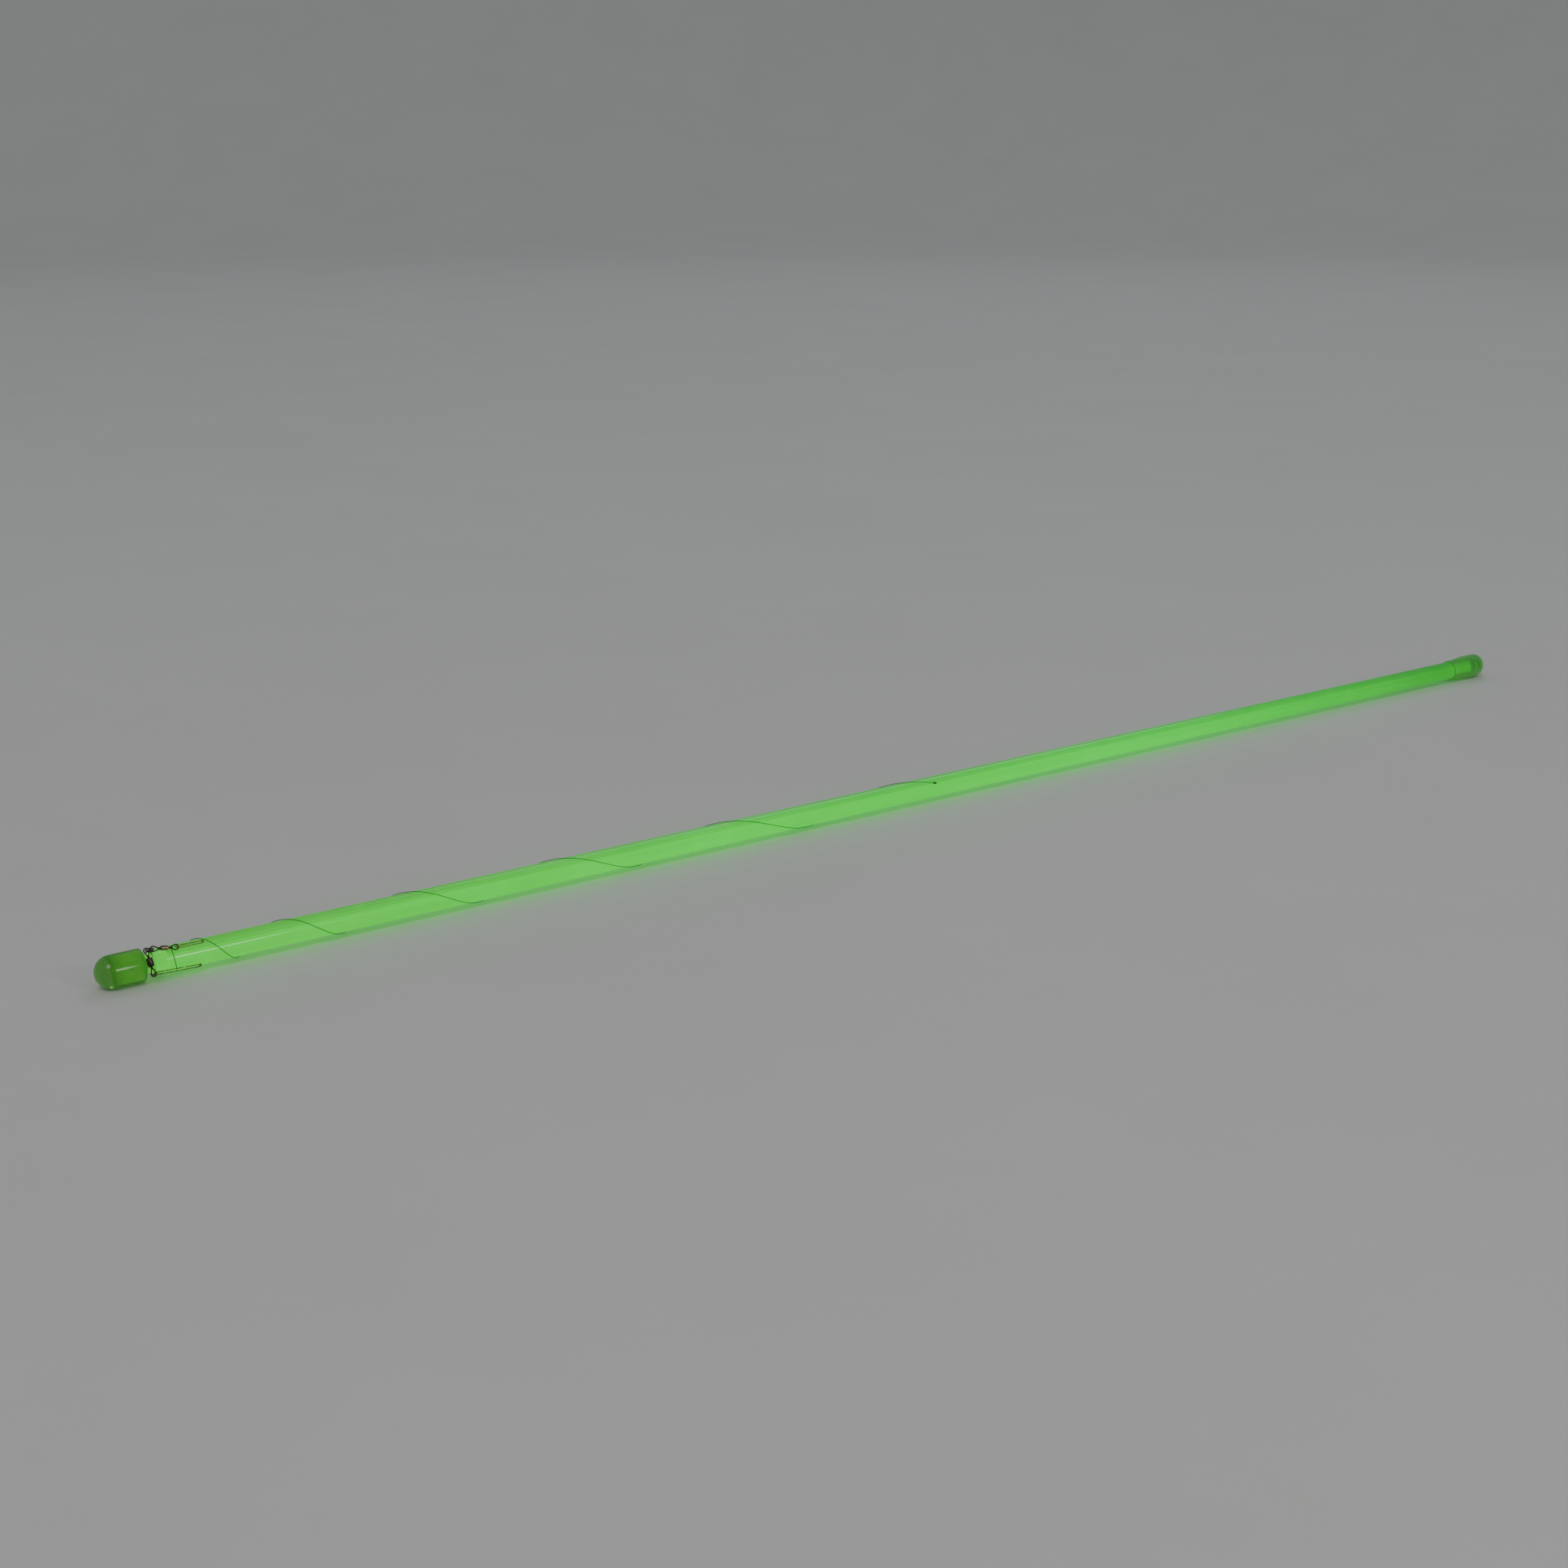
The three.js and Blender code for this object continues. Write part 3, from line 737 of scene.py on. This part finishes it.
def make_swivel(prefix, start, end, size, barrel_body, barrel_slot, eye_names, metals):
    """A barrel between two eyes whose hole centres are given."""
    middle = (start + end) / 2
    forward = end - start
    reach = forward.length / 2
    barrel_place = aimed(middle, forward, FRONTWARD)
    nodes = [f"{prefix}_swivel_barrel"]
    name = f"{prefix}_barrel_shell"
    put(name, barrel_mesh(*size), barrel_place, metals[barrel_slot], barrel_body, nodes, 50)
    for eye_name, direction in zip(eye_names, (-forward, forward)):
        place = aimed(middle, direction, FRONTWARD)
        node = f"{prefix}_swivel_{eye_name}_eye"
        name = f"{prefix}_{eye_name}_wire_eye"
        put(name, eye_mesh(reach, *size), place, metals["dark_metal"], "stick", [node], 60)


def make_split_ring(metals):
    centre = (NECK_EYE_TOP + TUBE_EYE_LEFT) / 2
    across = (TUBE_EYE_LEFT - NECK_EYE_TOP).normalized()
    wire_way = Matrix.Rotation(RING_TILT, 3, across) @ FRONTWARD
    place = aimed(centre, across.cross(wire_way), across)
    mesh = coil(RING_RADIUS, RING_WIRE, RING_TURNS, RING_PITCH, 48)
    put("split_ring_coil", mesh, place, metals["dark_metal"], "stick", ["split_ring"], 60)


def clip_points(length):
    """The clip's wire: from a small hook at the far bend, back round the eye and forward again."""
    bend = CLIP_WIDTH / 2 - WIRE / 2
    near = bend
    far = length - CLIP_WIDTH / 2
    straight_steps = 14
    bend_steps = 18
    hook_steps = 12
    hook_lift = WIRE * 0.95
    lift_steps = 5
    points = []
    for i in range(hook_steps, 0, -1):
        angle = math.pi / 2 - math.pi * i / bend_steps
        lift = hook_lift * min(1.0, i / lift_steps)
        points.append(Vector((far + bend * math.cos(angle), bend * math.sin(angle), lift)))
    for i in range(straight_steps):
        points.append(Vector((far - (far - near) * i / straight_steps, bend, 0)))
    for i in range(bend_steps):
        angle = math.pi / 2 + math.pi * i / bend_steps
        points.append(Vector((near + bend * math.cos(angle), bend * math.sin(angle), 0)))
    for i in range(straight_steps):
        points.append(Vector((near + (far - near) * i / straight_steps, -bend, 0)))
    for i in range(bend_steps - 1):
        angle = -math.pi / 2 + math.pi * i / bend_steps
        points.append(Vector((far + bend * math.cos(angle), bend * math.sin(angle), 0)))
    return points


def make_clip(name, eye_centre, tip, roll, body, node, metals):
    """A long narrow loop of round wire; its near bend passes through an eye, its far end is hooked shut."""
    along = (tip - eye_centre).normalized()
    across_flat = Vector((0, 0, 1)).cross(along).normalized()
    loop_normal = Matrix.Rotation(roll, 3, along) @ along.cross(across_flat)
    across_loop = loop_normal.cross(along)
    turn = Matrix((along, across_loop, loop_normal)).transposed().to_4x4()
    place = TILTED @ Matrix.Translation(eye_centre) @ turn
    length = (tip - eye_centre).length + WIRE / 2
    mesh = sweep(clip_points(length), WIRE / 2, 14)
    put(name, mesh, place, metals["pale_brass"], body, [node], 60)


def line_point(turns):
    """Where the fine line is after some turns round the tube."""
    angle = LINE_FIRST_ANGLE - turns * 2 * math.pi
    along = LINE_START + LINE_GROWTH * turns ** LINE_POWER
    start_lift = LINE_START_LIFT * max(0.0, 1 - turns / LINE_START_LIFT_TURNS)
    end_lift = LINE_END_LIFT * max(0.0, 1 - (LINE_TURNS - turns) / LINE_END_LIFT_TURNS)
    orbit = LINE_ORBIT + start_lift + end_lift
    return Vector((along, -orbit * math.cos(angle), orbit * math.sin(angle)))


def make_winding_line(material):
    """The whole line, in one sweep."""
    steps_per_turn = 64
    steps = round(LINE_TURNS * steps_per_turn)
    points = [line_point(LINE_TURNS * i / steps) for i in range(steps + 1)]
    mesh = sweep(points, LINE_RADIUS, 10)
    put("winding_monofilament", mesh, TILTED, material, "stick", ["winding_line"], 60)


def make_line_knot(material):
    """Three close turns of the line round the swivel's stem, crossed by one more."""
    axis = (TUBE_EYE_RIGHT - TUBE_EYE_LEFT).normalized()
    centre = (TUBE_EYE_LEFT + TUBE_EYE_RIGHT) / 2 + axis * KNOT_PLACE
    turns = coil(radius=0.30, wire_radius=0.07, turns=2.5, pitch=0.1, steps=28)
    crossing = coil(radius=0.34, wire_radius=0.06, turns=1.0, pitch=0.16, steps=28)
    place = aimed(centre, axis, FRONTWARD)
    mesh = merged(turns, crossing)
    put("line_knot_turns", mesh, place, material, "stick", ["line_knot"], 60)


def make_line_end_crimp(metals):
    """A small sleeve on the line's far end, pinched flat in two places."""
    place_turns = LINE_TURNS * CRIMP_PLACE
    nearby = 0.002
    centre = line_point(place_turns)
    direction = line_point(place_turns + nearby) - line_point(place_turns - nearby)
    half_length = 0.45
    bore = 0.10
    radius = 0.26
    rim = (radius - bore) / 2
    straight = half_length - rim
    steps = 20
    profile = arc((straight, bore + rim), rim, -90, 90, 8)
    for i in range(1, steps):
        profile.append((straight - 2 * straight * i / steps, radius))
    profile += arc((-straight, bore + rim), rim, 90, 270, 8)
    mesh = upright(lathe(profile, STEM_ROUND, closed=True))
    pinch_depth = 0.22
    for vert in mesh.verts:
        pinch = max(0.0, math.cos(2 * math.pi * vert.co.y / half_length))
        vert.co.z *= 1 - pinch_depth * pinch
    place = aimed(centre, direction, FRONTWARD)
    metal = metals["dark_metal"]
    put("line_end_sleeve", mesh, place, metal, "stick", ["line_end_crimp"], 60)


# ---- Stage, light and camera ----

def make_floor(material):
    """A pale floor that curves up into a wall all round, far away, so that no edge shows."""
    flat_radius = 3.0
    wall_radius = 4.2
    wall_height = 1.5
    curve = wall_radius - flat_radius
    bend = [(curve + height, flat_radius + out) for height, out in arc((0, 0), curve, 180, 90, 12)]
    mesh = lathe([(0.0, 0.0), *bend, (wall_height, wall_radius)])
    bmesh.ops.transform(mesh, matrix=Matrix.Rotation(-math.pi / 2, 4, "Y"), verts=mesh.verts)
    for face in mesh.faces:
        face.smooth = True
    data = bpy.data.meshes.new("floor")
    mesh.to_mesh(data)
    mesh.free()
    floor = bpy.data.objects.new("floor", data)
    bpy.context.scene.collection.objects.link(floor)
    data.materials.append(material)


def make_area_light(name, place, size, power, colour):
    light = bpy.data.lights.new(name, "AREA")
    light.shape = "DISK"
    light.size = size
    light.energy = power
    light.color = colour
    lamp = bpy.data.objects.new(name, light)
    lamp.location = place
    lamp.rotation_euler = (-Vector(place)).to_track_quat("-Z", "Y").to_euler()
    bpy.context.scene.collection.objects.link(lamp)


def make_world(colour, strength):
    world = bpy.data.worlds.new("soft_surround")
    world.use_nodes = True
    background = world.node_tree.nodes["Background"]
    background.inputs["Color"].default_value = (*colour, 1)
    background.inputs["Strength"].default_value = strength
    bpy.context.scene.world = world


def make_camera():
    """The view: from the front left, 16 degrees above the surface, turned 37.5 degrees from +Y."""
    camera = bpy.data.cameras.new("camera")
    camera.sensor_width = 36
    camera.lens = 52.03
    camera.clip_start = 0.01
    holder = bpy.data.objects.new("camera", camera)
    heading = math.radians(37.58)
    dip = math.radians(16.11)
    forward = Vector((
        math.sin(heading) * math.cos(dip), math.cos(heading) * math.cos(dip), -math.sin(dip),
    ))
    holder.location = Vector((-0.4158, AXIS_Y - 0.4657, 0.1838))
    holder.rotation_euler = forward.to_track_quat("-Z", "Y").to_euler()
    bpy.context.scene.collection.objects.link(holder)
    bpy.context.scene.camera = holder


make_camera()
make_world((0.90, 0.95, 1.0), 0.26)
make_area_light("key", (-1.3, -1.0, 2.1), 1.1, 10.0, (1.0, 0.97, 0.92))
make_area_light("fill", (1.8, 1.4, 2.2), 1.6, 5.0, (0.92, 0.96, 1.0))
make_area_light("streak", (0.165, -1.165, 0.46), 0.3, 1.3, (1.0, 0.98, 0.92))
make_floor(pale_floor())

metals = {
    "dark_metal": wire_metal(
        "blackened_steel", (0.035, 0.028, 0.026), (0.13, 0.10, 0.085), (0.45, 0.40, 0.36), 0.34, 4000,
    ),
    "pale_brass": wire_metal(
        "pale_brassy_wire", (0.10, 0.08, 0.035), (0.46, 0.38, 0.18), (1.0, 0.95, 0.76), 0.22, 5000,
    ),
}
line_material = fine_line()
glass_material = thin_glass()

make_outer_tube(clear_tube())
make_glow_fluid(glowing_fluid())
for number in range(1, AMPOULE_PIECES + 1):
    make_ampoule_piece(number, glass_material)
# Painted glow: the left plug is dim at its tip, brightest in the cap's body, dimmer at the neck and greener
# near the liquid.
make_left_plug(milky_plug(
    "milky_left_plastic", 1.5,
    (TIP_THICKNESS, (0.03, 0.08, 0.01)),
    (4.0, (0.14, 0.28, 0.06)),
    (6.0, (0.26, 0.46, 0.12)),
    (CAP_LENGTH - 1.2, (0.24, 0.43, 0.12)),
    (CAP_LENGTH, (0.08, 0.30, 0.04)),
    (TUBE_START, (0.07, 0.38, 0.04)),
    (FLUID_START, (0.06, 0.56, 0.036)),
))
# Painted shade: the left cap's darker green tint keeps its clear tip dim.
make_left_end_cap(clear_cap("clear_left_plastic", (0.11, 0.34, 0.055), (0.16, 0.41, 0.085)))
# Painted glow: the right plug's faint emission, dimmest at its tip.
make_right_plug(milky_plug(
    "milky_right_plastic", 1.0,
    (FLUID_END - 1.0, (0.000, 0.12, 0.006)),
    (LENGTH - 5.0, (0.000, 0.10, 0.008)),
    (LENGTH - RIGHT_TIP, (0.002, 0.05, 0.004)),
))
# Painted glow: the right bulb's lighter green tint.
make_right_end_cap(clear_cap("clear_right_plastic", (0.26, 0.74, 0.24), (0.34, 0.82, 0.30)))

make_swivel(
    "neck", NECK_EYE_TOP, NECK_EYE_BOTTOM, NECK_BARREL, "neck_barrel", "dark_metal",
    ("top", "bottom"), metals,
)
make_swivel(
    "tube", TUBE_EYE_LEFT, TUBE_EYE_RIGHT, TUBE_BARREL, "tube_barrel", "pale_brass",
    ("left", "right"), metals,
)
make_split_ring(metals)
make_clip("top_wire_clip", TUBE_EYE_RIGHT, TOP_CLIP_TIP, CLIP_ROLL, "upper_clip", "top_clip", metals)
make_clip(
    "bottom_wire_clip", NECK_EYE_BOTTOM, BOTTOM_CLIP_TIP, -CLIP_ROLL, "lower_clip", "bottom_clip", metals,
)
make_winding_line(line_material)
make_line_knot(line_material)
make_line_end_crimp(metals)
